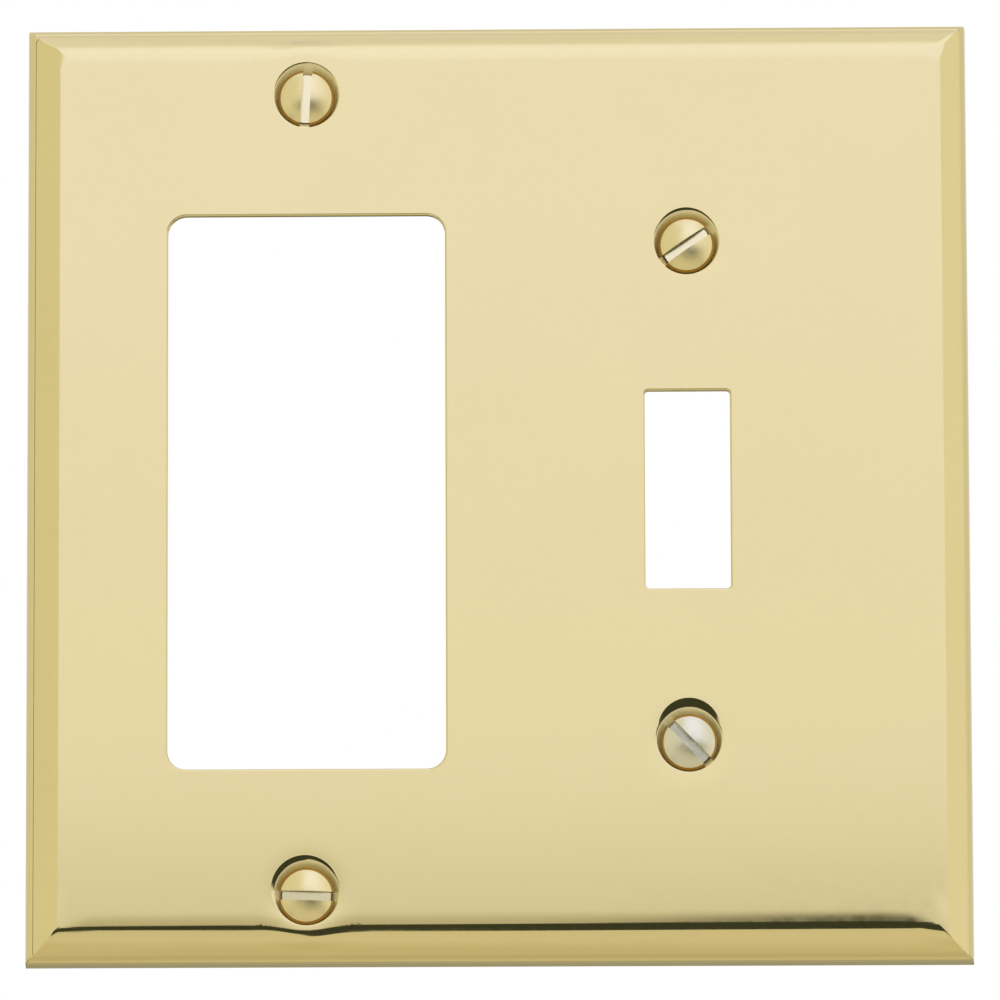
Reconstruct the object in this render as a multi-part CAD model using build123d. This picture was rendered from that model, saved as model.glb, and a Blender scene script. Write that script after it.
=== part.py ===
"""Two-gang combination wall plate with its four loose oval-head screws.

A formed brass sheet covers a two-gang switch box. It has a decorator opening on the
left, a toggle opening on the right and four dimpled holes, each with one slotted screw.

Frame: millimetres, +Z up, +X to the right for someone who faces the plate. The wall is
the plane y = 0, the front of the plate looks along -Y, and the origin is the centre of
the plate's outline on the wall.
"""

import os
from math import atan2, cos, degrees, radians, sin, tan

from build123d import *

# Plate outline and section
PLATE_WIDTH = 114.6
PLATE_HEIGHT = 114.3
PLATE_DEPTH = 7.0  # wall to front face
SHEET = 1.2
RIM_DEPTH = 4.7  # height of the steep rim that stands on the wall
RIM_LEAN = 0.35  # how far the rim leans in over that height
BEVEL_WIDTH = 3.5  # the sloping band between rim and front face
FACE_BEND = 1.5  # outside radius between front face and bevel
RIM_BEND = 2.6  # outside radius between bevel and rim
CORNER_RADIUS = 0.8  # outside radius along the mitred corners

# Openings in the front face
GANG_SPACING = 46.04
DECORATOR_WIDTH = 33.6
DECORATOR_HEIGHT = 67.2
DECORATOR_CORNER = 2.3
TOGGLE_WIDTH = 10.3
TOGGLE_HEIGHT = 24.0
TOGGLE_CORNER = 0.5
EDGE_ROUND = 0.25  # die roll on the front edge of both openings

# Dimpled screw holes
DECORATOR_SCREW_SPACING = 96.84
TOGGLE_SCREW_SPACING = 60.32
COUNTERSINK_HALF_ANGLE = 41.0
DIMPLE_RADIUS = 3.95  # where the cone would meet the front face
DIMPLE_LIP = 0.6  # rolled lip between cone and front face
DIMPLE_SHEET = 1.0  # thinned wall of the cone
DIMPLE_DEPTH = 2.7  # front face to the punched end of the cone
DIMPLE_PATCH = 4.3  # radius of the disc of sheet that a dimple is pressed in
HOLE_RADIUS = 2.3

# Oval-head machine screws, thread 6-32
HEAD_RADIUS = 3.5
HEAD_BAND = 0.2  # straight edge between cone and dome
DOME_RISE = 1.0
NECK_RADIUS = 1.5
NECK_END = 2.6  # the thread starts this far in front of the wall
THREAD_RADIUS = 1.75
SCREW_LENGTH = 12.7  # widest part of the head to the tip
TIP_CHAMFER = 0.45
SLOT_WIDTH = 1.1
SLOT_DEPTH = 2.0
SCREW_DROP = 0.45  # the screws hang this far below the hole centres
SEAT_GAP = 0.08  # between a head's cone and the dimple it hangs in

CLOSE = 1e-3  # two edges nearer than this are at the same place

# name: (gang side, sign along Z, hole spacing, turn of the slot from level in degrees)
SCREWS = {
    "decorator_screw_top": (-1, 1, DECORATOR_SCREW_SPACING, 86.2),
    "decorator_screw_bottom": (-1, -1, DECORATOR_SCREW_SPACING, -1.7),
    "toggle_screw_top": (1, 1, TOGGLE_SCREW_SPACING, 34.0),
    "toggle_screw_bottom": (1, -1, TOGGLE_SCREW_SPACING, -46.0),
}


def outer_section():
    """(inset, depth) corners of the plate's outside, from the wall to the front face."""
    return [(0, 0), (RIM_LEAN, RIM_DEPTH), (RIM_LEAN + BEVEL_WIDTH, PLATE_DEPTH)]


def run_past_wall(section):
    """The same section with its rim drawn on past the wall, to be cut off after rounding."""
    lean = (section[1][0] - section[0][0]) / section[1][1]
    return [(section[0][0] - lean * SHEET, -SHEET), *section[1:]]


def inner_section():
    """The same corners one sheet thickness further in, measured square to the metal."""
    rim, arris, bend = outer_section()
    rim_angle = atan2(arris[0] - rim[0], arris[1] - rim[1])
    bevel_angle = atan2(bend[0] - arris[0], bend[1] - arris[1])
    rim_inset = SHEET / cos(rim_angle)
    bevel_inset = SHEET / cos(bevel_angle)
    # where the two offset lines meet, then where the bevel's line meets the inner face
    climb = (bevel_inset - rim_inset) / (tan(bevel_angle) - tan(rim_angle))
    corner_depth = arris[1] - climb
    corner = (arris[0] + rim_inset - climb * tan(rim_angle), corner_depth)
    top = PLATE_DEPTH - SHEET
    return [
        (rim_inset, 0),
        corner,
        (corner[0] + (top - corner_depth) * tan(bevel_angle), top),
    ]


def pyramid(section):
    """A stack of tapered blocks standing on the wall, one between each pair of corners."""
    stack = []
    for (inset, depth), (next_inset, next_depth) in zip(section, section[1:]):
        slope = degrees(atan2(next_inset - inset, next_depth - depth))
        outline = Plane.XZ.offset(depth) * Rectangle(
            PLATE_WIDTH - 2 * inset, PLATE_HEIGHT - 2 * inset
        )
        stack.append(extrude(outline, amount=next_depth - depth, taper=slope))
    return stack[0] + stack[1]


def loop_at(solid, depth):
    """The edges of a solid that lie wholly at one depth in front of the wall."""
    return [
        edge
        for edge in solid.edges()
        if max(abs(edge.bounding_box().min.Y + depth), abs(edge.bounding_box().max.Y + depth)) < CLOSE
    ]


def corner_edges(solid):
    """The slanting edges where two sides meet."""
    return [edge for edge in solid.edges() if edge.bounding_box().size.Y > SHEET / 2]


def shell():
    """The bent sheet with no openings."""
    outside = pyramid(run_past_wall(outer_section()))
    outside = fillet(loop_at(outside, PLATE_DEPTH), FACE_BEND)
    outside = fillet(loop_at(outside, RIM_DEPTH), RIM_BEND)
    outside = fillet(corner_edges(outside), CORNER_RADIUS)
    inside = pyramid(run_past_wall(inner_section()))
    inside = fillet(loop_at(inside, inner_section()[1][1]), RIM_BEND - SHEET)
    return split(outside - inside, bisect_by=Plane.XZ, keep=Keep.TOP)


def punch_opening(plate, width, height, corner, side):
    """The plate with one opening punched through its face, and its front edge rolled."""
    centre = Pos(side * GANG_SPACING / 2, 0)
    outline = Plane.XZ.offset(PLATE_DEPTH) * centre * RectangleRounded(width, height, corner)
    before = len(loop_at(plate, PLATE_DEPTH))
    plate -= extrude(outline, amount=-2 * SHEET)
    around = [
        edge
        for edge in loop_at(plate, PLATE_DEPTH)
        if abs(edge.center().X - centre.position.X) < width / 2 + CLOSE
        and abs(edge.center().Z) < height / 2 + CLOSE
    ]
    assert len(around) == 8 and len(loop_at(plate, PLATE_DEPTH)) == before + 8
    return fillet(around, EDGE_ROUND)


def dimple():
    """A disc of sheet pressed back into a countersunk hole, on the Y axis."""
    slope = tan(radians(COUNTERSINK_HALF_ANGLE))
    front = -PLATE_DEPTH
    hole_front = front + (DIMPLE_RADIUS - HOLE_RADIUS) / slope
    end = front + DIMPLE_DEPTH
    wall = DIMPLE_SHEET / cos(radians(COUNTERSINK_HALF_ANGLE))
    end_radius = DIMPLE_RADIUS - DIMPLE_DEPTH * slope + wall
    back = front + SHEET
    back_radius = DIMPLE_RADIUS - SHEET * slope + wall
    points = [
        (DIMPLE_PATCH, front),
        (DIMPLE_RADIUS, front),
        (HOLE_RADIUS, hole_front),
        (HOLE_RADIUS, end),
        (end_radius, end),
        (back_radius, back),
        (DIMPLE_PATCH, back),
    ]
    section = make_face(Polyline(*points, close=True))
    lip = section.vertices().sort_by_distance((DIMPLE_RADIUS, front))[0]
    return revolve(fillet(lip, DIMPLE_LIP), Axis.Y)


def hole_centre(side, sign, spacing):
    return side * GANG_SPACING / 2, sign * spacing / 2


def cover_plate():
    """The whole plate: bent sheet, two punched openings and four dimples."""
    plate = shell()
    plate = punch_opening(plate, DECORATOR_WIDTH, DECORATOR_HEIGHT, DECORATOR_CORNER, -1)
    plate = punch_opening(plate, TOGGLE_WIDTH, TOGGLE_HEIGHT, TOGGLE_CORNER, 1)
    disc = Plane.XZ.offset(PLATE_DEPTH) * Circle(DIMPLE_PATCH)
    blank = extrude(disc, amount=-SHEET)
    for side, sign, spacing, _ in SCREWS.values():
        x, z = hole_centre(side, sign, spacing)
        plate = plate - Pos(x, 0, z) * blank + Pos(x, 0, z) * dimple()
    return plate


def screw():
    """One screw on the Y axis, its widest edge at y = 0, head forward and slot level."""
    slope = tan(radians(COUNTERSINK_HALF_ANGLE))
    cone = (HEAD_RADIUS - NECK_RADIUS) / slope
    neck_end = -NECK_END - head_edge_y()
    dome_radius = (HEAD_RADIUS**2 + DOME_RISE**2) / (2 * DOME_RISE)
    half_angle = atan2(HEAD_RADIUS, dome_radius - DOME_RISE) / 2
    crown = -HEAD_BAND - DOME_RISE
    on_dome = (
        dome_radius * sin(half_angle),
        crown + dome_radius * (1 - cos(half_angle)),
    )
    dome = ThreePointArc((0, crown), on_dome, (HEAD_RADIUS, -HEAD_BAND))
    sides = Polyline(
        (HEAD_RADIUS, -HEAD_BAND),
        (HEAD_RADIUS, 0),
        (NECK_RADIUS, cone),
        (NECK_RADIUS, neck_end),
        (THREAD_RADIUS, neck_end),
        (THREAD_RADIUS, SCREW_LENGTH - TIP_CHAMFER),
        (THREAD_RADIUS - TIP_CHAMFER, SCREW_LENGTH),
        (0, SCREW_LENGTH),
        (0, crown),
    )
    body = revolve(make_face(dome + sides), Axis.Y)
    cutter = Box(3 * HEAD_RADIUS, 2 * SLOT_DEPTH, SLOT_WIDTH)
    return body - Pos(0, crown, 0) * cutter


def head_edge_y():
    """Where a hanging screw's widest edge stands: its cone just clears the dimple's."""
    slope = tan(radians(COUNTERSINK_HALF_ANGLE))
    touch = -PLATE_DEPTH + (DIMPLE_RADIUS - HEAD_RADIUS - SCREW_DROP) / slope
    return touch - SEAT_GAP / sin(radians(COUNTERSINK_HALF_ANGLE))


def build():
    parts = {"cover_plate": cover_plate()}
    for name, (side, sign, spacing, turn) in SCREWS.items():
        x, z = hole_centre(side, sign, spacing)
        place = Pos(x, head_edge_y(), z - SCREW_DROP) * Rot(0, -turn, 0)
        parts[name] = place * screw()
    return parts


os.makedirs("parts", exist_ok=True)
for node, shape in build().items():
    export_step(shape, f"parts/{node}.step")
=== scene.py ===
"""Looks of the two-gang brass wall plate and its four screws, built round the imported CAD.

Everything is in the CAD frame: +Z up, +X to the right for someone who faces the plate,
the wall at y = 0 and the face towards -Y. Shapes are worked out in millimetres and
turned into Blender's metres when a mesh is made.
"""

from math import atan2, cos, hypot, pi, radians, sin, sqrt, tan

import bpy
import numpy as np
from mathutils import Matrix, Vector
from mathutils.geometry import delaunay_2d_cdt


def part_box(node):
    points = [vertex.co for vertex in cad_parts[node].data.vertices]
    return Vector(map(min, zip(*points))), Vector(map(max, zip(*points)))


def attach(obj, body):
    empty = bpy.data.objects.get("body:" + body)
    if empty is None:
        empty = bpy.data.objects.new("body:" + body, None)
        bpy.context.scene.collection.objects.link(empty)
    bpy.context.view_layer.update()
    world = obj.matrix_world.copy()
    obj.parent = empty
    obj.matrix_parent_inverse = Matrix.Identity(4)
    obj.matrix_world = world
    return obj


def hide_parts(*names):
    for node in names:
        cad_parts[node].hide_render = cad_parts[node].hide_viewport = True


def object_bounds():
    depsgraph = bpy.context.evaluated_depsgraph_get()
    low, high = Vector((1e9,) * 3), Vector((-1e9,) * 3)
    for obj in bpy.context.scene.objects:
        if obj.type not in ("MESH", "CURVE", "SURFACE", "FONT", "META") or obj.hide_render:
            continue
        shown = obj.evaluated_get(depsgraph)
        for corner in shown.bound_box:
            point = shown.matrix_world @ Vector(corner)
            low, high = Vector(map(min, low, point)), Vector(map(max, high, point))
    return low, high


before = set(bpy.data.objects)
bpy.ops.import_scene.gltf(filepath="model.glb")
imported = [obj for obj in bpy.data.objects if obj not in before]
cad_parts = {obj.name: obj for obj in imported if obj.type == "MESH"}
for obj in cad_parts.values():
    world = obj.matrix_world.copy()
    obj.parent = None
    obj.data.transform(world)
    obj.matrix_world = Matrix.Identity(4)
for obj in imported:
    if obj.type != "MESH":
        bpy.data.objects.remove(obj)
cad_low, cad_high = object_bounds()

MM = 0.001

# Plate outline and section, in mm
plate_low, plate_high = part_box("cover_plate")
HALF_WIDTH = plate_high.x / MM
HALF_HEIGHT = plate_high.z / MM
PLATE_DEPTH = -plate_low.y / MM
SHEET = 1.2
RIM_DEPTH = 5.0
RIM_LEAN = 0.35
FACE_INSET = 3.42  # where bevel and face would meet if the bend were sharp
FACE_BEND = 4.0
RIM_BEND = 2.6
INNER_FACE_BEND = 1.5
INNER_RIM_BEND = 1.4
INNER_CORNER = 0.5

# Plan radius of the four mitred corners at the outline, and how it grows per mm of inset:
# (side along X, side along Z): (radius, growth)
MITRES = {
    (-1, 1): (0.12, 0.4),
    (1, 1): (0.12, 0.35),
    (-1, -1): (0.12, 0.06),
    (1, -1): (0.12, 0.0),
}

# Openings
GANG_SPACING = 46.04
DECORATOR = (-GANG_SPACING / 2, 33.6, 67.2, 2.3)  # centre x, width, height, corner radius
TOGGLE = (GANG_SPACING / 2, 10.3, 24.0, 0.5)
EDGE_ROUND = 0.25  # die roll on the front edge
EDGE_BREAK = 0.08  # small break on the back edge

# Screws in their dimpled holes: name: (side, sign along Z, hole spacing, slot's turn from level)
SCREWS = {
    "decorator_screw_top": (-1, 1, 96.84, 86.2),
    "decorator_screw_bottom": (-1, -1, 96.84, -1.7),
    "toggle_screw_top": (1, 1, 60.32, 34.0),
    "toggle_screw_bottom": (1, -1, 60.32, -46.0),
}
# The punch left a shallow dish over each cone, a little off its axis:
# name: (off along X, off along Z, radius)
DISHES = {
    "decorator_screw_top": (-0.12, 0.05, 3.95),
    "decorator_screw_bottom": (-0.18, 0.35, 4.2),
    "toggle_screw_top": (0.0, 0.37, 3.93),
    "toggle_screw_bottom": (0.0, 1.1, 3.9),
}
DISH_TILT = radians(8)
DISH_EDGE = 0.8  # radius that rounds the dish's outer edge
DISH_BLEND = 0.05  # how softly dish and cone meet
LIP = 0.35  # radius that rounds the cone's mouth
CONE_EASE = 0.25  # the cones are this much shallower above their axis
BOTTOM_SHIFT = (-0.27, -0.12)  # the bottom edge is bent further in, most at the right: mid, change
FALL_DEPTH = 0.02  # the face falls gently towards its bends
FALL_REACH = (1.9, 2.9)  # outwards and inwards
FALL_END = 6.4  # rows of points follow the fall up to this inset
PAST_FALL = (6.9, 7.6, 8.2)  # and a few more stand past it
COUNTERSINK_HALF_ANGLE = radians(41)
DIMPLE_RADIUS = 3.95
DIMPLE_DEPTH = 2.7
DIMPLE_SHEET = 1.0
HOLE_RADIUS = 2.3
SHOULDER_DEPTH = 0.02  # the face sinks this much towards each dimple
SHOULDER_REACH = 6.9  # radius where that begins
BEND_SHIFT = 0.6  # the punch also held the face flat further out beside the nearest bend
BEND_SHIFT_REACH = 3.4
BEND_FADE_START = 1.6  # a moved bend starts at this inset, and has all its shift
BEND_FADE = 2.0  # this much further in
BEND_ZONE = 8  # only this close to the top and bottom edges
MITRE_REACH = 4  # falls and shifts fade out this near a mitre

# Oval-head screws, thread 6-32
HEAD_RADIUS = 3.4
CAD_HEAD_RADIUS = 3.5  # places the head as in the CAD
HEAD_RISE = 1.2  # widest edge to crown
EDGE_REACH = 0.3  # the rounded edge round the dome, which gets dark brass as painted shade
EDGE_RISE = 0.3
NECK_RADIUS = 1.5
NECK_END = 2.6
THREAD_RADIUS = 1.75
THREAD_ROOT = 1.3
PITCH = 0.794
SCREW_LENGTH = 12.7
TIP_CHAMFER = 0.45
SLOT_WIDTH = 1.1
SLOT_DEPTH = 1.75
SCREW_DROP = 0.45
SEAT_GAP = 0.08

CORNER_STEPS = 12
BEND_STEPS = 16
CIRCLE_STEPS = 96
SAME_POINT = 1e-5  # mm, for joining patches


# ---------------------------------------------------------------- plate section

def bevel_slope():
    """Angle of the bevel from the plane of the face."""
    return atan2(PLATE_DEPTH - RIM_DEPTH, FACE_INSET - RIM_LEAN)


def bend_end():
    """Inset where the face bend ends and the flat face begins."""
    return FACE_INSET + FACE_BEND * tan(bevel_slope() / 2)


def rounded_section(corners, radii):
    """(inset, depth, normal inset, normal depth) along a polyline with rounded bends."""
    corners = [np.array(c, float) for c in corners]
    rows = []

    def outward(along):
        return np.array([-along[1], along[0]])

    for k, here in enumerate(corners):
        if k == 0 or k == len(corners) - 1:
            ends = corners[:2] if k == 0 else corners[-2:]
            along = (ends[1] - ends[0]) / np.linalg.norm(ends[1] - ends[0])
            rows.append((*here, *outward(along)))
            continue
        before = here - corners[k - 1]
        after = corners[k + 1] - here
        before /= np.linalg.norm(before)
        after /= np.linalg.norm(after)
        turn = np.arccos(np.clip(before @ after, -1, 1))
        radius = radii[k - 1]
        centre = here - before * radius * tan(turn / 2) - outward(before) * radius
        for step in range(BEND_STEPS + 1):
            share = step / BEND_STEPS
            normal = outward(before) * sin((1 - share) * turn) + outward(after) * sin(share * turn)
            normal /= np.linalg.norm(normal)
            rows.append((*(centre + radius * normal), *normal))
    return rows


def edge_height(inset):
    """Height of the front surface over the wall, from mid bevel to the flat face."""
    slope = bevel_slope()
    end = bend_end()
    start = end - FACE_BEND * sin(slope)
    line = RIM_DEPTH + (inset - RIM_LEAN) * tan(slope)
    reach = np.clip(end - inset, 0, FACE_BEND * sin(slope))
    bend = PLATE_DEPTH - FACE_BEND + np.sqrt(FACE_BEND**2 - reach**2)
    return np.where(inset < start, line, bend)


def plan_inset(x, z):
    """How far inside the outline a point lies, with the mitres rounded in plan."""
    a = HALF_WIDTH - np.abs(x)
    b = HALF_HEIGHT - np.abs(z)
    inset = np.minimum(a, b)
    for (side_x, side_z), (radius, growth) in MITRES.items():
        here = (x * side_x >= 0) & (z * side_z >= 0)
        total = 2 * radius - a - b
        quad = 2 * (1 + growth) ** 2 - growth**2
        half = (1 + growth) * total - growth * radius
        rest = (radius - a) ** 2 + (radius - b) ** 2 - radius**2
        root = np.sqrt(np.maximum(half**2 - quad * rest, 0))
        rounded = (root - half) / quad
        reach = rounded + radius + growth * rounded
        on_arc = here & (a < reach) & (b < reach)
        inset = np.where(on_arc, rounded, inset)
    return inset


def hole_centre(name):
    side, sign, spacing, _ = SCREWS[name]
    return side * GANG_SPACING / 2, sign * spacing / 2


def shoulder(r):
    """Depth and tilt of the face's gentle fall towards a dimple."""
    share = np.clip((SHOULDER_REACH - r) / (SHOULDER_REACH - DIMPLE_RADIUS), 0, None)
    tilt = np.arctan(3 * SHOULDER_DEPTH * share**2 / (SHOULDER_REACH - DIMPLE_RADIUS))
    return SHOULDER_DEPTH * share**3, tilt


def mouth():
    """Where a dimple's cone ends and its rounded mouth begins: (radius, depth, outer radius)."""
    cone = pi / 2 - COUNTERSINK_HALF_ANGLE
    end = DIMPLE_RADIUS + LIP * tan(cone / 2)
    for _ in range(20):
        sink, tilt = (float(v) for v in shoulder(np.float64(end)))
        radius = end - LIP * (sin(cone) - sin(tilt))
        depth = sink + LIP * (cos(tilt) - cos(cone))
        end -= (radius - DIMPLE_RADIUS) + depth / tan(cone)
    return radius, depth, end


def cone_depth(r):
    """Depth of a dimple's cone, mouth and shoulder below the face at radius r."""
    cone = pi / 2 - COUNTERSINK_HALF_ANGLE
    radius, depth, end = mouth()
    sink, tilt = (float(v) for v in shoulder(np.float64(end)))
    along = np.clip(end - r, 0, end - radius) / LIP + sin(tilt)
    on_mouth = sink + LIP * (cos(tilt) - np.sqrt(np.maximum(1 - along**2, 0)))
    on_cone = depth + (radius - r) * tan(cone)
    return np.where(r > end, shoulder(r)[0], np.where(r > radius, on_mouth, on_cone))


def dish_depth(r, radius):
    """Depth of the shallow dish over a dimple, measured from the dish's own centre."""
    reach = np.clip(radius - r, 0, None)
    turn = DISH_EDGE * sin(DISH_TILT)
    bend = DISH_EDGE - np.sqrt(DISH_EDGE**2 - np.minimum(reach, turn) ** 2)
    return bend + np.maximum(reach - turn, 0) * tan(DISH_TILT)


def dimple_depth(x, z, name):
    """Depth of one dimple below the face."""
    centre_x, centre_z = hole_centre(name)
    off_x, off_z, radius = DISHES[name]
    r = np.hypot(x - centre_x, z - centre_z)
    upward = (z - centre_z) / np.maximum(r, 1e-6)
    cone = np.where(r < SHOULDER_REACH, cone_depth(np.minimum(r, SHOULDER_REACH)), 0)
    cone = cone * (1 - CONE_EASE - CONE_EASE * upward)
    dish = dish_depth(np.hypot(x - centre_x - off_x, z - centre_z - off_z), radius)
    blend = DISH_BLEND * np.clip(dish / DISH_BLEND, 0, 1)
    return (cone + dish + np.sqrt((cone - dish) ** 2 + blend**2) - blend) / 2


def bend_shift(x, z, inset):
    """How far the bend has moved out: beside the outer dimples, and less at the bottom."""
    beside = np.zeros_like(x)
    for name in ("decorator_screw_top", "decorator_screw_bottom"):
        centre_x, centre_z = hole_centre(name)
        beside += np.where(z * centre_z > 0, np.exp(-(((x - centre_x) / BEND_SHIFT_REACH) ** 2)), 0)
    fade = np.clip((inset - BEND_FADE_START) / BEND_FADE, 0, 1)
    middle, change = BOTTOM_SHIFT
    moved = BEND_SHIFT * beside + np.where(z < 0, middle + change * x / HALF_WIDTH, 0)
    level = HALF_WIDTH - np.abs(x) > HALF_HEIGHT - np.abs(z)
    moved = moved * fade**2 * (3 - 2 * fade) * np.where(level, clear_of_mitre(x, z), 0)
    return np.where(HALF_HEIGHT - np.abs(z) < BEND_ZONE, moved, 0)


def clear_of_mitre(x, z):
    """0 on the mitres and 1 well away from them."""
    away = np.clip(np.abs(HALF_WIDTH - np.abs(x) - HALF_HEIGHT + np.abs(z)) / MITRE_REACH, 0, 1)
    return away**2 * (3 - 2 * away)


def face_height(x, z):
    """Height of the whole front surface over the wall."""
    inset = plan_inset(x, z)
    moved = inset + bend_shift(x, z, inset)
    past = moved - FACE_INSET
    share = np.clip(1 - (past / np.where(past < 0, *FALL_REACH)) ** 2, 0, 1)
    height = edge_height(moved) - FALL_DEPTH * share**3 * clear_of_mitre(x, z)
    for name in SCREWS:
        height = height - dimple_depth(x, z, name)
    return height


def height_normals(x, z, height):
    """Normals of a front surface that is given as a height over the wall."""
    step = 1e-3
    slope_x = (height(x + step, z) - height(x - step, z)) / (2 * step)
    slope_z = (height(x, z + step) - height(x, z - step)) / (2 * step)
    normals = np.stack([-slope_x, -np.ones_like(x), -slope_z], axis=1)
    return normals / np.linalg.norm(normals, axis=1, keepdims=True)


# ---------------------------------------------------------------- mesh building

class Patches:
    """Pieces of one closed surface, each with its own normals, joined by position."""

    def __init__(self):
        self.points, self.normals, self.faces, self.count = [], [], [], 0

    def add(self, points, normals, faces):
        self.points.append(np.asarray(points, float))
        self.normals.append(np.asarray(normals, float))
        self.faces += [[self.count + i for i in face] for face in faces]
        self.count += len(points)

    def strip(self, rings, normals, flip=False):
        """Quads between closed rings that have the same number of points."""
        rings, normals = np.asarray(rings, float), np.asarray(normals, float)
        rows, around = rings.shape[:2]
        faces = []
        for row in range(rows - 1):
            for i in range(around):
                j = (i + 1) % around
                near, far = row * around, (row + 1) * around
                face = [near + i, near + j, far + j, far + i]
                faces.append(face[::-1] if flip else face)
        self.add(rings.reshape(-1, 3), normals.reshape(-1, 3), faces)

    def object(self, name):
        points = np.concatenate(self.points)
        normals = np.concatenate(self.normals)
        keys = np.round(points / SAME_POINT).astype(np.int64)
        _, first, joined = np.unique(keys, axis=0, return_index=True, return_inverse=True)
        joined = joined.ravel()
        faces, loops = [], []
        for face in self.faces:
            corners = joined[face]
            keep = [k for k in range(len(face)) if corners[k] != corners[k - 1]]
            if len(keep) > 2:
                faces.append([int(corners[k]) for k in keep])
                loops += [face[k] for k in keep]
        mesh = bpy.data.meshes.new(name)
        mesh.from_pydata((points[first] * MM).tolist(), [], faces)
        mesh.shade_smooth()
        mesh.normals_split_custom_set(normals[loops].tolist())
        made = bpy.data.objects.new(name, mesh)
        bpy.context.scene.collection.objects.link(made)
        return made


def rounded_loop(half_x, half_z, radii, centre_x=0.0):
    """(x, z) points and outward plan normals round a rectangle, from its right side on."""
    points, normals = [], []
    corners = [(1, 1, 0), (-1, 1, 1), (-1, -1, 2), (1, -1, 3)]
    for (side_x, side_z, quarter), radius in zip(corners, radii):
        middle = (side_x * (half_x - radius), side_z * (half_z - radius))
        for step in range(CORNER_STEPS + 1):
            angle = (quarter + step / CORNER_STEPS) * pi / 2
            normal = (cos(angle), sin(angle))
            x = centre_x + middle[0] + radius * normal[0]
            points.append((x, middle[1] + radius * normal[1]))
            normals.append(normal)
    return np.array(points), np.array(normals)


def outline_loop(inset, corner=None):
    """The plate's outline moved inwards, with its mitres' own radii or one given radius."""
    if corner is None:
        order = [(1, 1), (-1, 1), (-1, -1), (1, -1)]
        radii = [MITRES[key][0] + MITRES[key][1] * inset for key in order]
    else:
        radii = [corner] * 4
    return rounded_loop(HALF_WIDTH - inset, HALF_HEIGHT - inset, radii)


def divided(loop, longest=2.5):
    """The same loop with its long sides cut into short steps."""
    points = []
    for here, there in zip(loop, np.roll(loop, -1, axis=0)):
        count = max(1, int(np.linalg.norm(there - here) / longest))
        points += [here + (there - here) * step / count for step in range(count)]
    return np.array(points)


def opening_loop(opening, grow=0.0):
    centre_x, width, height, corner = opening
    return rounded_loop(width / 2 + grow, height / 2 + grow, [corner + grow] * 4, centre_x)


def circle_loop(centre_x, centre_z, radius):
    angles = np.arange(CIRCLE_STEPS) * 2 * pi / CIRCLE_STEPS
    normals = np.stack([np.cos(angles), np.sin(angles)], axis=1)
    return np.array([centre_x, centre_z]) + radius * normals, normals


def at_height(plan, height):
    """3-D points of a plan loop at one height over the wall."""
    return np.stack([plan[:, 0], np.full(len(plan), -height), plan[:, 1]], axis=1)


def sweep(loops, section):
    """Rings and normals where each section row has its own plan loop."""
    rings, normals = [], []
    for (plan, outward), (_, depth, normal_inset, normal_depth) in zip(loops, section):
        rings.append(at_height(plan, depth))
        level = -normal_inset * outward
        forward = np.full(len(plan), -normal_depth)
        normals.append(np.stack([level[:, 0], forward, level[:, 1]], axis=1))
    return rings, normals


def fill(loops, keep, parts=()):
    """Triangles over a flat region with these loops as edges; keep tells which stay.

    parts are further loops of which only some points are used: (loop, used).
    """
    exact, edges = [], []
    for loop, used in [*((loop, np.ones(len(loop), bool)) for loop in loops), *parts]:
        place = len(exact) + np.cumsum(used) - 1
        after = np.roll(place, -1)
        both = used & np.roll(used, -1)
        edges += [(int(a), int(b)) for a, b in zip(place[both], after[both])]
        exact += list(loop[used])
    points = [Vector(p) for p in exact]
    found, _, faces, origins, _, _ = delaunay_2d_cdt(points, edges, [], 0, SAME_POINT)
    plan = np.array([exact[o[0]] if o else tuple(p) for p, o in zip(found, origins)])
    faces = np.array(faces)
    middles = plan[faces].mean(axis=1)
    faces = faces[keep(middles[:, 0], middles[:, 1])]
    return plan, faces


def outside_openings(x, z, grow):
    """True where a point is outside both openings, grown by this much."""
    inside = np.zeros(len(x), bool)
    for centre_x, width, height, corner in (DECORATOR, TOGGLE):
        reach_x = np.abs(x - centre_x) - (width / 2 - corner)
        reach_z = np.abs(z) - (height / 2 - corner)
        gap = np.hypot(np.maximum(reach_x, 0), np.maximum(reach_z, 0)) + np.minimum(
            np.maximum(reach_x, reach_z), 0
        )
        inside |= gap < corner + grow
    return ~inside


def outside_holes(x, z, radius):
    clear = np.ones(len(x), bool)
    for name in SCREWS:
        centre_x, centre_z = hole_centre(name)
        clear &= np.hypot(x - centre_x, z - centre_z) > radius * cos(pi / CIRCLE_STEPS)
    return clear


# ---------------------------------------------------------------- the plate

def outer_corners():
    return [(0, 0), (RIM_LEAN, RIM_DEPTH), (FACE_INSET, PLATE_DEPTH), (bend_end() + 1, PLATE_DEPTH)]


def inner_corners():
    """The section's corners one sheet thickness further in."""
    rim_angle = atan2(RIM_LEAN, RIM_DEPTH)
    slope = bevel_slope()
    rim_inset = SHEET / cos(rim_angle)
    bevel_inset = SHEET / sin(slope)
    climb = (bevel_inset - rim_inset) / (1 / tan(slope) - tan(rim_angle))
    corner = (RIM_LEAN + rim_inset - climb * tan(rim_angle), RIM_DEPTH - climb)
    top = PLATE_DEPTH - SHEET
    end = corner[0] + (top - corner[1]) / tan(slope)
    return [(rim_inset, 0), corner, (end, top), (end + 3, top)]


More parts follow.
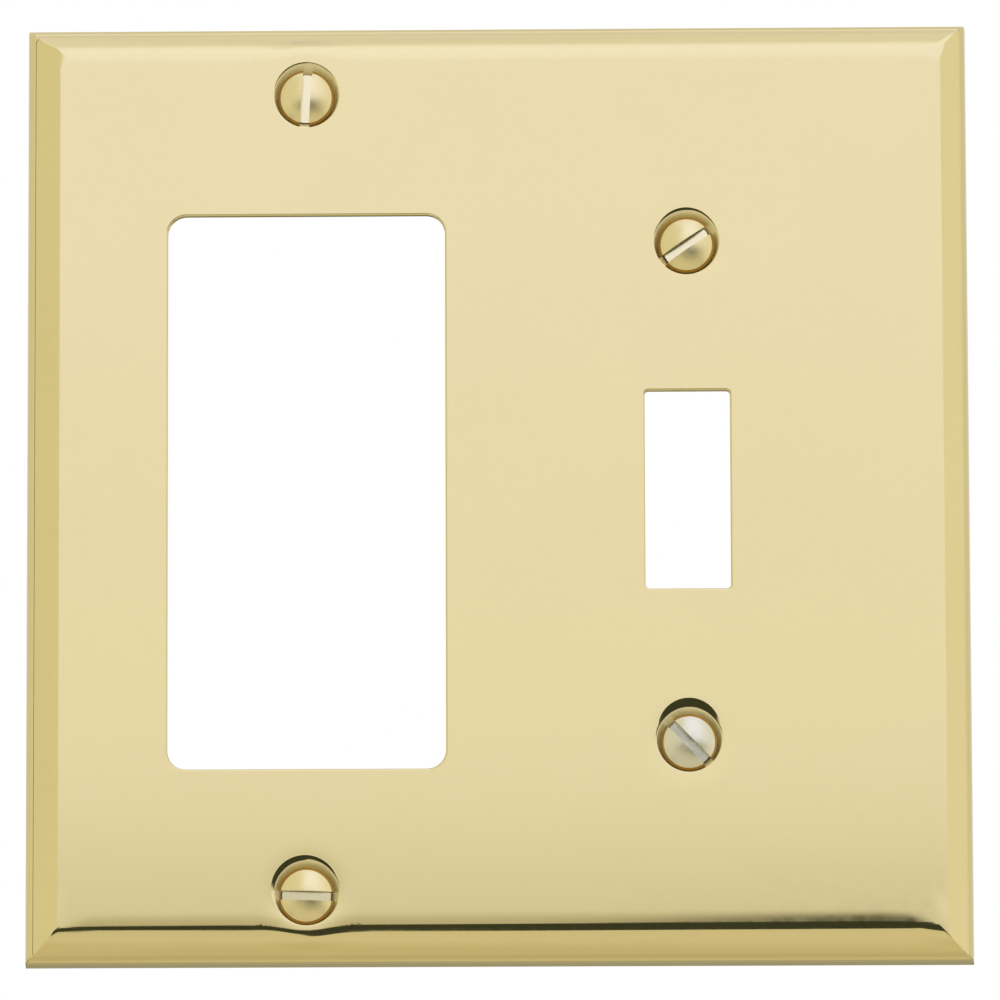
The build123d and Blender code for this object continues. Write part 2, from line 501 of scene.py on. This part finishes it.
def add_front(plate, section):
    """The bevel, the bends, the face and the dimples, as one height field."""
    start = section[1 + BEND_STEPS]  # where the rim's bend ends and the bevel begins
    loops = [outline_loop(start[0])[0]]
    end = bend_end()
    tilts = np.linspace(1, 0, BEND_STEPS + 1) * bevel_slope()
    loops += [divided(outline_loop(end - FACE_BEND * sin(tilt))[0]) for tilt in tilts]
    # the face's gentle fall needs points of its own, kept clear of the dimples' rings
    insets = [*np.linspace(end, FALL_END, 14)[1:], *PAST_FALL]
    inside = [divided(outline_loop(inset)[0]) for inset in insets]
    parts = [(loop, outside_holes(*loop.T, SHOULDER_REACH + 0.2)) for loop in inside]
    for opening in (DECORATOR, TOGGLE):
        loops.append(opening_loop(opening, EDGE_ROUND)[0])
    inner, _, outer = mouth()
    # rings close together over the mouth, and wider over the shoulder
    over_mouth = np.linspace(inner - 0.3, outer + 0.1, 16)
    over_shoulder = np.linspace(outer + 0.25, SHOULDER_REACH, 18)
    radii = [HOLE_RADIUS, *over_mouth, *over_shoulder]
    for name, (off_x, off_z, dish) in DISHES.items():
        centre_x, centre_z = hole_centre(name)
        loops += [circle_loop(centre_x, centre_z, r)[0] for r in radii]
        edges = dish - DISH_EDGE * np.sin(np.linspace(-0.05, 1.1, 7) * DISH_TILT)
        loops += [circle_loop(centre_x + off_x, centre_z + off_z, r)[0] for r in edges]
    plan, faces = fill(
        loops,
        lambda x, z: outside_openings(x, z, EDGE_ROUND) & outside_holes(x, z, HOLE_RADIUS),
        parts,
    )
    x, z = plan[:, 0], plan[:, 1]
    points = np.stack([x, -face_height(x, z), z], axis=1)
    plate.add(points, height_normals(x, z, face_height), faces.tolist())


def add_back(plate, inner_end):
    """The flat back of the face, between the inner bend, the openings and the dimples."""
    height = PLATE_DEPTH - SHEET
    back_radius = back_of_cone(SHEET)
    loops = [outline_loop(inner_end, INNER_CORNER)[0]]
    for opening in (DECORATOR, TOGGLE):
        loops.append(opening_loop(opening, EDGE_BREAK)[0])
    loops += [circle_loop(*hole_centre(name), back_radius)[0] for name in SCREWS]
    plan, faces = fill(
        loops,
        lambda x, z: outside_openings(x, z, EDGE_BREAK) & outside_holes(x, z, back_radius),
    )
    points = at_height(plan, height)
    backward = np.tile([0.0, 1.0, 0.0], (len(points), 1))
    plate.add(points, backward, [face[::-1] for face in faces.tolist()])


def back_of_cone(depth):
    """Radius of the back of a dimple's cone at this depth below the face."""
    wall = DIMPLE_SHEET / cos(COUNTERSINK_HALF_ANGLE)
    return DIMPLE_RADIUS - depth * tan(COUNTERSINK_HALF_ANGLE) + wall


def add_rim(plate, section):
    rows = section[: 2 + BEND_STEPS]
    rings, normals = sweep([outline_loop(row[0]) for row in rows], rows)
    plate.strip(rings, normals)


def add_inside(plate):
    """The inner side of rim and bevel. Returns the inset where the flat back begins."""
    corners = inner_corners()
    rows = rounded_section(corners, [INNER_RIM_BEND, INNER_FACE_BEND])[:-1]
    rings, normals = sweep([outline_loop(row[0], INNER_CORNER) for row in rows], rows)
    plate.strip(rings, [-n for n in normals], flip=True)
    return rows[-1][0]


def add_foot(plate):
    """The narrow flat ring that rests on the wall."""
    outer, inner = outline_loop(0)[0], outline_loop(inner_corners()[0][0], INNER_CORNER)[0]
    rings = [at_height(inner, 0), at_height(outer, 0)]
    normals = [np.tile([0.0, 1.0, 0.0], (len(outer), 1))] * 2
    plate.strip(rings, normals)


def add_opening(plate, opening):
    """The die roll on the front edge, the cut wall and the broken back edge."""
    steps = 6
    back = PLATE_DEPTH - SHEET
    rows = []
    for step in range(steps + 1):
        angle = step / steps * pi / 2
        grow = EDGE_ROUND * (1 - sin(angle))
        rows.append((grow, PLATE_DEPTH - EDGE_ROUND * (1 - cos(angle)), sin(angle), cos(angle)))
    walls = [
        rows,
        [(0, PLATE_DEPTH - EDGE_ROUND, 1, 0), (0, back + EDGE_BREAK, 1, 0)],
        [(0, back + EDGE_BREAK, sqrt(0.5), -sqrt(0.5)), (EDGE_BREAK, back, sqrt(0.5), -sqrt(0.5))],
    ]
    for wall in walls:
        rings, normals = sweep([opening_loop(opening, row[0]) for row in wall], wall)
        plate.strip(rings, normals)


def add_hole(plate, name):
    """The punched end of a dimple: its straight hole, back ring and back cone."""
    centre = hole_centre(name)
    back = PLATE_DEPTH - SHEET
    end = PLATE_DEPTH - DIMPLE_DEPTH
    end_radius = back_of_cone(DIMPLE_DEPTH)
    back_radius = back_of_cone(SHEET)
    across, back_along = cos(COUNTERSINK_HALF_ANGLE), sin(COUNTERSINK_HALF_ANGLE)
    plan, outward = circle_loop(*centre, HOLE_RADIUS)
    front = np.stack([plan[:, 0], -face_height(plan[:, 0], plan[:, 1]), plan[:, 1]], axis=1)
    towards_axis = np.stack([-outward[:, 0], np.zeros(len(plan)), -outward[:, 1]], axis=1)
    plate.strip([front, at_height(plan, end)], [towards_axis] * 2)
    stages = [
        [(HOLE_RADIUS, end, 0, -1), (end_radius, end, 0, -1)],
        [(end_radius, end, -across, -back_along), (back_radius, back, -across, -back_along)],
    ]
    for stage in stages:
        rings, normals = sweep([circle_loop(*centre, row[0]) for row in stage], stage)
        plate.strip(rings, normals)


def build_plate():
    plate = Patches()
    section = rounded_section(outer_corners(), [RIM_BEND, FACE_BEND])
    add_front(plate, section)
    add_rim(plate, section)
    add_foot(plate)
    add_back(plate, add_inside(plate))
    for opening in (DECORATOR, TOGGLE):
        add_opening(plate, opening)
    for name in SCREWS:
        add_hole(plate, name)
    made = plate.object("brass_plate")
    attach(made, "plate")
    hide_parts("cover_plate")
    return made


# ---------------------------------------------------------------- the screws

def head_edge_y():
    """Where a hanging screw's widest edge stands, as in the CAD."""
    slope = tan(COUNTERSINK_HALF_ANGLE)
    touch = -PLATE_DEPTH + (DIMPLE_RADIUS - CAD_HEAD_RADIUS - SCREW_DROP) / slope
    return touch - SEAT_GAP / sin(COUNTERSINK_HALF_ANGLE)


def thread_radius(y, turn, start, end):
    """Radius of a right-hand vee thread, fading in at its start and out at its tip."""
    phase = (y / PITCH - turn / (2 * pi)) % 1
    vee = np.clip(1.25 * (1 - 2 * np.abs(phase - 0.5)), 0, 1)
    fade = np.clip((y - start) / PITCH, 0, 1) * np.clip((end - y) / (0.6 * PITCH), 0, 1)
    root = THREAD_ROOT + (NECK_RADIUS - THREAD_ROOT) * (1 - np.clip((y - start) / PITCH, 0, 1))
    return root + (THREAD_RADIUS - THREAD_ROOT) * vee * fade


def dome_shape():
    """(radius of the dome's sphere, tilt where it runs into the rounded edge)."""
    reach = HEAD_RADIUS - EDGE_REACH
    tilt = 2 * atan2(HEAD_RISE - EDGE_RISE, reach)
    return reach / sin(tilt), tilt


def screw_rings():
    """Rings of the screw before its slot is cut, from crown to tip, on the Y axis."""
    turns = np.arange(CIRCLE_STEPS) * 2 * pi / CIRCLE_STEPS

    def ring(r, y):
        return np.stack([r * np.cos(turns), np.full_like(turns, y), r * np.sin(turns)], axis=1)

    dome, tilt = dome_shape()
    tilts = np.linspace(0.02, 1, 24) * tilt
    rows = [(dome * sin(a), dome * (1 - cos(a)) - HEAD_RISE) for a in tilts]
    bend = -EDGE_RISE + EDGE_REACH * tan(tilt)
    for t in np.linspace(0, 1, 9)[1:]:
        y = 2 * bend * t * (1 - t) - EDGE_RISE * (1 - t) ** 2
        rows.append((HEAD_RADIUS - EDGE_REACH * (1 - t) ** 2, y))
    cone = (HEAD_RADIUS - NECK_RADIUS) / tan(COUNTERSINK_HALF_ANGLE)
    neck_end = -NECK_END - head_edge_y()
    rows += [(NECK_RADIUS, cone), (NECK_RADIUS, neck_end)]
    rings = [ring(r, y) for r, y in rows]
    for y in np.arange(neck_end + PITCH / 12, SCREW_LENGTH, PITCH / 12):
        r = thread_radius(y, turns, neck_end, SCREW_LENGTH)
        r = np.minimum(r, THREAD_RADIUS - np.maximum(0, y - SCREW_LENGTH + TIP_CHAMFER))
        rings.append(ring(r, y))
    return rings


def build_screw(name):
    rings = screw_rings()
    around = len(rings[0])
    points = np.concatenate(rings)
    faces = [list(range(around))]
    for row in range(len(rings) - 1):
        for i in range(around):
            j = (i + 1) % around
            near, far = row * around, (row + 1) * around
            faces.append([near + j, near + i, far + i, far + j])
    faces.append([(len(rings) - 1) * around + i for i in range(around)][::-1])
    mesh = bpy.data.meshes.new(name + "_brass")
    mesh.from_pydata((points * MM).tolist(), [], faces)
    made = bpy.data.objects.new(name + "_brass", mesh)
    bpy.context.scene.collection.objects.link(made)
    cut_slot(made)
    shade_by_angle(made)
    x, z = hole_centre(name)
    place = Matrix.Translation(Vector((x, head_edge_y(), z - SCREW_DROP)) * MM)
    made.matrix_world = place @ Matrix.Rotation(radians(-SCREWS[name][3]), 4, "Y")
    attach(made, name)
    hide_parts(name)
    return made


def cut_slot(screw):
    half = Vector((1.5 * HEAD_RADIUS, SLOT_DEPTH, SLOT_WIDTH / 2)) * MM
    corners = [(sx * half.x, -HEAD_RISE * MM + sy * half.y, sz * half.z)
               for sx in (-1, 1) for sy in (-1, 1) for sz in (-1, 1)]
    quads = [(0, 1, 3, 2), (4, 6, 7, 5), (0, 4, 5, 1), (2, 3, 7, 6), (0, 2, 6, 4), (1, 5, 7, 3)]
    mesh = bpy.data.meshes.new("slot_cutter")
    mesh.from_pydata(corners, [], quads)
    cutter = bpy.data.objects.new("slot_cutter", mesh)
    bpy.context.scene.collection.objects.link(cutter)
    cut = screw.modifiers.new("slot", "BOOLEAN")
    cut.operation = "DIFFERENCE"
    cut.solver = "EXACT"
    cut.object = cutter
    apply_modifiers(screw)
    bpy.data.objects.remove(cutter)


def apply_modifiers(made):
    depsgraph = bpy.context.evaluated_depsgraph_get()
    mesh = bpy.data.meshes.new_from_object(made.evaluated_get(depsgraph))
    made.modifiers.clear()
    made.data = mesh


def shade_by_angle(made):
    """Smooth shading with exact normals on the dome, and flat ones in the slot."""
    mesh = made.data
    dome, tilt = dome_shape()
    centre = Vector((0, dome - HEAD_RISE, 0)) * MM
    dome_end = (dome * (1 - cos(tilt)) - HEAD_RISE) * MM
    mesh.shade_smooth()
    mesh.set_sharp_from_angle(angle=radians(28))
    corner_normals = [Vector(n.vector) for n in mesh.corner_normals]
    for face in mesh.polygons:
        middle = face.center
        on_dome = middle.y < dome_end and face.normal.dot((middle - centre).normalized()) > 0.99
        # the slot floor takes material 1, the slot's brass painted paler as light
        floor = not on_dome and face.normal.y < -0.999
        wall = not on_dome and abs(face.normal.y) < 1e-3 and middle.y < SLOT_DEPTH * MM
        wall = wall and abs(abs((face.normal @ made.matrix_world.to_3x3()).z) - 1) < 1e-3
        outer = hypot(middle.x, middle.z) > (HEAD_RADIUS - EDGE_REACH) * MM
        # the rounded edge outside the dome takes material 2, dark brass that paints shade on it
        edge = not on_dome and middle.y < -1e-6 and outer
        face.material_index = 1 if floor else 2 if edge and not wall else 0
        for loop in face.loop_indices:
            if on_dome:
                spot = mesh.vertices[mesh.loops[loop].vertex_index].co
                corner_normals[loop] = (spot - centre).normalized()
            elif floor or wall:
                corner_normals[loop] = face.normal.copy()
    mesh.normals_split_custom_set(corner_normals)


def mark_dimples(plate):
    """Give the pressed cones their own rougher brass, painted paler than the plate as light on
    them.
    """
    for face in plate.data.polygons:
        for name in SCREWS:
            x, z = hole_centre(name)
            reach = hypot(face.center.x / MM - x, face.center.z / MM - z)
            if HOLE_RADIUS < reach < DIMPLE_RADIUS - 0.1 and face.normal.y < -0.3:
                face.material_index = 1


# ---------------------------------------------------------------- materials

PLATE_COLOUR = (0.83, 0.72, 0.42)
SCREW_COLOUR = (0.88, 0.77, 0.47)
PALE_SCREW_COLOUR = (0.80, 0.77, 0.66)
# paler than the heads' brass: painted light on the slot floors
SLOT_COLOUR_WITH_PAINTED_LIGHT = (0.93, 0.85, 0.62)
# paler than the plate's brass: painted light on the dimple cones
DIMPLE_COLOUR_WITH_PAINTED_LIGHT = (0.98, 0.90, 0.62)
# dark brown of the heads' rounded edges: painted shade, not the brass's own colour
EDGE_SHADE_COLOUR = (0.40, 0.22, 0.045)
RING_BUMP = 2e-6  # height in metres of the turned rings on the heads


class Nodes:
    """Short names for the nodes that the materials and the world are made of."""

    def __init__(self, tree):
        self.tree = tree
        tree.nodes.clear()

    def add(self, kind, **settings):
        node = self.tree.nodes.new(kind)
        for key, value in settings.items():
            setattr(node, key, value)
        return node

    def link(self, source, target):
        """Set a socket to a number or a colour, or join it to another node's output."""
        if isinstance(source, (int, float, tuple)):
            target.default_value = source
        else:
            self.tree.links.new(source, target)

    def math(self, operation, *values):
        node = self.add("ShaderNodeMath", operation=operation)
        for socket, value in zip(node.inputs, values):
            self.link(value, socket)
        return node.outputs[0]

    def ramp(self, value, low, high, start=0.0, end=1.0, smooth=True):
        """value from low to high gives start to end, held beyond both ends."""
        kind = "SMOOTHSTEP" if smooth else "LINEAR"
        node = self.add("ShaderNodeMapRange", interpolation_type=kind)
        for socket, given in zip(node.inputs, (value, low, high, start, end)):
            self.link(given, socket)
        return node.outputs[0]

    def mix(self, share, first, second):
        node = self.add("ShaderNodeMix", data_type="RGBA")
        self.link(share, node.inputs[0])
        for socket, given in ((node.inputs[6], first), (node.inputs[7], second)):
            self.link((*given, 1) if isinstance(given, tuple) else given, socket)
        return node.outputs[2]

    def noise(self, vector, scale, detail=2.0, roughness=0.5):
        node = self.add("ShaderNodeTexNoise")
        self.link(vector, node.inputs["Vector"])
        node.inputs["Scale"].default_value = scale
        node.inputs["Detail"].default_value = detail
        node.inputs["Roughness"].default_value = roughness
        return node.outputs["Fac"]


def brass_material(name, colour, roughness, orange_peel, ring_bump=0.0):
    """Brass with slight blotches, specks and unevenness, and turned rings if asked for."""
    material = bpy.data.materials.new(name)
    material.use_nodes = True
    n = Nodes(material.node_tree)
    shader = n.add("ShaderNodeBsdfPrincipled")
    output = n.add("ShaderNodeOutputMaterial")
    n.link(shader.outputs[0], output.inputs[0])
    shader.inputs["Metallic"].default_value = 1.0
    place = n.add("ShaderNodeTexCoord").outputs["Object"]
    blotch = n.noise(place, 60, 3)
    fine = n.noise(place, 900, 2)
    tone = n.ramp(blotch, 0.3, 0.7, 0.992, 1.008)
    grain = n.ramp(fine, 0.3, 0.7, 0.994, 1.006)
    shade = n.math("MULTIPLY", tone, grain)
    specks = n.add("ShaderNodeTexVoronoi", feature="F1")
    n.link(place, specks.inputs["Vector"])
    specks.inputs["Scale"].default_value = 55
    pick = n.add("ShaderNodeSeparateColor")
    n.link(specks.outputs["Color"], pick.inputs[0])
    chosen = n.math("GREATER_THAN", pick.outputs[0], 0.93)
    size = n.math("MULTIPLY", pick.outputs[1], 0.012)
    spot = n.math("LESS_THAN", specks.outputs["Distance"], size)
    speck = n.math("MULTIPLY", n.math("MULTIPLY", chosen, spot), 0.35)
    shade = n.math("MULTIPLY", shade, n.math("SUBTRACT", 1.0, speck))
    scaled = n.add("ShaderNodeVectorMath", operation="SCALE")
    scaled.inputs[0].default_value = colour
    n.link(shade, scaled.inputs["Scale"])
    n.link(scaled.outputs[0], shader.inputs["Base Color"])
    wear = n.ramp(blotch, 0.3, 0.7, roughness * 0.85, roughness * 1.2)
    n.link(n.math("ADD", wear, n.ramp(fine, 0.3, 0.7, 0, 0.02)), shader.inputs["Roughness"])
    height = n.math("MULTIPLY", n.noise(place, 130, 1), orange_peel)
    if ring_bump:
        axes = n.add("ShaderNodeSeparateXYZ")
        n.link(place, axes.inputs[0])
        squares = [n.math("POWER", axes.outputs[axis], 2.0) for axis in (0, 2)]
        radius = n.math("SQRT", n.math("ADD", *squares))
        jitter = n.math("MULTIPLY", n.noise(place, 1500, 2), 0.00004)
        ring = n.math("SINE", n.math("MULTIPLY", n.math("ADD", radius, jitter), 2 * pi / 0.00011))
        height = n.math("ADD", height, n.math("MULTIPLY", ring, ring_bump))
    bump = n.add("ShaderNodeBump")
    bump.inputs["Strength"].default_value = 1.0
    bump.inputs["Distance"].default_value = 1.0
    n.link(height, bump.inputs["Height"])
    n.link(bump.outputs[0], shader.inputs["Normal"])
    return material


# ---------------------------------------------------------------- studio

# What the plate mirrors, by direction from it, in degrees: azimuth is positive to the
# right of someone who faces the plate, and elevation is above the horizon.
PANEL = [  # elevation and colour of the bright panel in front
    (0.5, (0.45, 0.42, 0.28)),
    (1.6, (0.60, 0.57, 0.43)),
    (2.2, (0.70, 0.68, 0.56)),
    (2.9, (0.815, 0.80, 0.715)),
    (3.8, (0.935, 0.935, 0.905)),
    (4.7, (0.965, 0.955, 0.925)),
    (6.2, (0.96, 0.95, 0.94)),
    (8.1, (1.0, 0.99, 1.035)),
    (9.6, (1.0, 0.99, 1.035)),
    (20.0, (1.04, 1.04, 1.14)),
    (50.0, (1.07, 1.08, 1.2)),
    (62.0, (1.05, 1.05, 1.12)),
    (76.0, (0.87, 0.85, 0.80)),
    (90.0, (0.78, 0.78, 0.80)),
]
GROUND = [  # and of the ground
    (-90.0, (0.56, 0.51, 0.33)),
    (-72.0, (0.63, 0.57, 0.36)),
    (-62.0, (0.66, 0.60, 0.39)),
    (-42.0, (0.74, 0.68, 0.48)),
    (-24.0, (0.71, 0.67, 0.47)),
]
LEFT_SIDE = (0.79, 0.755, 0.54)
RIGHT_SIDE = (0.87, 0.845, 0.68)
BEHIND = [  # and of everything behind the plate
    (-10.8, (0.44, 0.41, 0.27)),
    (-9.4, (0.16, 0.13, 0.05)),
    (-5.0, (0.16, 0.13, 0.05)),
    (1.0, (0.73, 0.70, 0.56)),
]
DARK = (0.045, 0.05, 0.03)


def build_world():
    """A soft studio by direction: a wide bright panel in front, dimmer sides, dark gaps."""
    world = bpy.data.worlds.new("studio")
    bpy.context.scene.world = world
    world.use_nodes = True
    n = Nodes(world.node_tree)
    axes = n.add("ShaderNodeSeparateXYZ")
    n.link(n.add("ShaderNodeTexCoord").outputs["Generated"], axes.inputs[0])
    x, y, z = axes.outputs
    azimuth = n.math("DEGREES", n.math("ARCTAN2", x, n.math("MULTIPLY", y, -1.0)))
    elevation = n.math("DEGREES", n.math("ARCSINE", z))

    def band(value, low, high, soft):
        """1 between low and high, 0 outside, with soft edges."""
        rise = n.ramp(n.math("SUBTRACT", value, low), -soft, soft)
        fall = n.ramp(n.math("SUBTRACT", value, high), -soft, soft, 1.0, 0.0)
        return n.math("MULTIPLY", rise, fall)

    def by_elevation(stops):
        shade = stops[0][1]
        for (start, _), (end, colour) in zip(stops, stops[1:]):
            shade = n.mix(n.ramp(elevation, start, end, smooth=False), shade, colour)
        return shade

    turned = n.math("ABSOLUTE", azimuth)
    side = n.mix(n.ramp(azimuth, -40, 60), LEFT_SIDE, RIGHT_SIDE)
    side = n.mix(n.ramp(turned, 80, 120), side, by_elevation(BEHIND))
    in_panel = n.math("MAXIMUM", band(azimuth, -12, 39, 2.5), n.ramp(elevation, 55, 70))
    colour = n.mix(in_panel, side, by_elevation(PANEL))
    edge = n.ramp(azimuth, -4.5, -1.0, -13, -23)
    on_ground = n.ramp(n.math("SUBTRACT", elevation, edge), 0.5, -1.5)
    on_ground = n.math("MULTIPLY", on_ground, n.ramp(turned, 100, 80))
    on_ground = n.math("MAXIMUM", on_ground, n.ramp(elevation, -40, -60))
    colour = n.mix(on_ground, colour, by_elevation(GROUND))

    # the dark space under the panel, higher to the right
    top = n.ramp(azimuth, -1.5, 1.4, 0.0, 1.95, smooth=False)
    under = n.math("MULTIPLY", band(elevation, edge, top, 0.3), band(azimuth, -24, 24, 2))
    # the dark corners between the ground and both sides
    corners = n.math("MULTIPLY", band(elevation, -45, -35, 2), band(turned, 49, 66, 2))
    colour = n.mix(n.math("MAXIMUM", under, n.math("MULTIPLY", corners, 0.8)), colour, DARK)
    # and the narrow one between the panel and the left side
    slit = n.math("MULTIPLY", band(azimuth, -80, -76, 0.5), n.ramp(elevation, -25, -18))
    colour = n.mix(n.math("MULTIPLY", slit, 0.85), colour, DARK)

    lit = n.add("ShaderNodeBackground")
    n.link(colour, lit.inputs["Color"])
    seen = n.add("ShaderNodeBackground")
    seen.inputs["Color"].default_value = (1, 1, 1, 1)
    swap = n.add("ShaderNodeMixShader")
    n.link(n.add("ShaderNodeLightPath").outputs["Is Camera Ray"], swap.inputs[0])
    n.link(lit.outputs[0], swap.inputs[1])
    n.link(seen.outputs[0], swap.inputs[2])
    n.link(swap.outputs[0], n.add("ShaderNodeOutputWorld").inputs[0])


FLOOR_DROP = 0.16  # below the plate's lower edge, in metres
FLOOR_RADIUS = 0.3


def build_floor():
    angles = [2 * pi * i / 64 for i in range(64)]
    level = cad_low.z - FLOOR_DROP
    corners = [(FLOOR_RADIUS * cos(a), FLOOR_RADIUS * sin(a), level) for a in angles]
    mesh = bpy.data.meshes.new("floor")
    mesh.from_pydata(corners, [], [list(range(len(corners)))])
    floor = bpy.data.objects.new("floor", mesh)
    bpy.context.scene.collection.objects.link(floor)
    material = bpy.data.materials.new("pale_floor")
    material.use_nodes = True
    shader = material.node_tree.nodes["Principled BSDF"]
    shader.inputs["Base Color"].default_value = (0.86, 0.83, 0.74, 1)
    shader.inputs["Roughness"].default_value = 0.9
    mesh.materials.append(material)
    floor.visible_glossy = False


def build_light():
    """One soft light from above and in front, for the turned rings of the heads."""
    data = bpy.data.lights.new("soft_light", "AREA")
    data.shape = "DISK"
    data.size = 0.5
    data.energy = 1.5
    light = bpy.data.objects.new("soft_light", data)
    light.location = (-0.25, -0.6, 0.75)
    light.visible_glossy = False
    light.rotation_euler = (Vector((0, 0, 0)) - light.location).to_track_quat("-Z", "Y").to_euler()
    bpy.context.scene.collection.objects.link(light)


# ---------------------------------------------------------------- camera

CAMERA_DISTANCE = 0.86
CAMERA_BELOW = 6.2  # degrees under the plate's normal
CAMERA_ASIDE = -1.0
CAMERA_ROLL = -0.18
CAMERA_FOCUS = 7069.0  # focal length over the image's width, in thousandths
LOOK_AT = Vector((0.00024, 0.0, -0.00044))


def build_camera():
    data = bpy.data.cameras.new("camera")
    data.sensor_width = 36
    data.lens = CAMERA_FOCUS / 1000 * data.sensor_width
    data.clip_start = 0.01
    data.clip_end = 20
    camera = bpy.data.objects.new("camera", data)
    below, aside = radians(CAMERA_BELOW), radians(CAMERA_ASIDE)
    back = Vector((-sin(aside) * cos(below), -cos(aside) * cos(below), -sin(below)))
    aim = (-back).to_track_quat("-Z", "Y").to_matrix()
    turn = aim @ Matrix.Rotation(radians(CAMERA_ROLL), 3, "Z")
    camera.matrix_world = Matrix.Translation(LOOK_AT + back * CAMERA_DISTANCE) @ turn.to_4x4()
    bpy.context.scene.collection.objects.link(camera)
    bpy.context.scene.camera = camera


# ---------------------------------------------------------------- build it all

bpy.context.scene.view_settings.view_transform = "Standard"
build_world()
build_floor()
build_light()
build_camera()

plate_object = build_plate()
plate_object.data.materials.append(brass_material("polished_brass", PLATE_COLOUR, 0.055, 1.2e-6))
# the dimple cones' brass is rougher, and painted paler as light
plate_object.data.materials.append(brass_material("dimple_brass_painted_light", DIMPLE_COLOUR_WITH_PAINTED_LIGHT, 0.45, 2e-6))
mark_dimples(plate_object)
# dark brass that paints shade on the heads' rounded edges
edge_shade_brass = brass_material("screw_edge_painted_shade", EDGE_SHADE_COLOUR, 0.28, 1e-6)
screw_brass = brass_material("screw_brass", SCREW_COLOUR, 0.25, 3e-6, RING_BUMP)
pale_brass = brass_material("screw_brass_pale", PALE_SCREW_COLOUR, 0.25, 3e-6, RING_BUMP)
# smoother brass for the slot floors, painted paler as light
slot_brass_painted_light = brass_material("screw_slot_painted_light", SLOT_COLOUR_WITH_PAINTED_LIGHT, 0.16, 1e-6)
for screw_name in SCREWS:
    screw_object = build_screw(screw_name)
    pale = screw_name == "toggle_screw_bottom"
    screw_object.data.materials.append(pale_brass if pale else screw_brass)
    screw_object.data.materials.append(pale_brass if pale else slot_brass_painted_light)
    screw_object.data.materials.append(edge_shade_brass)
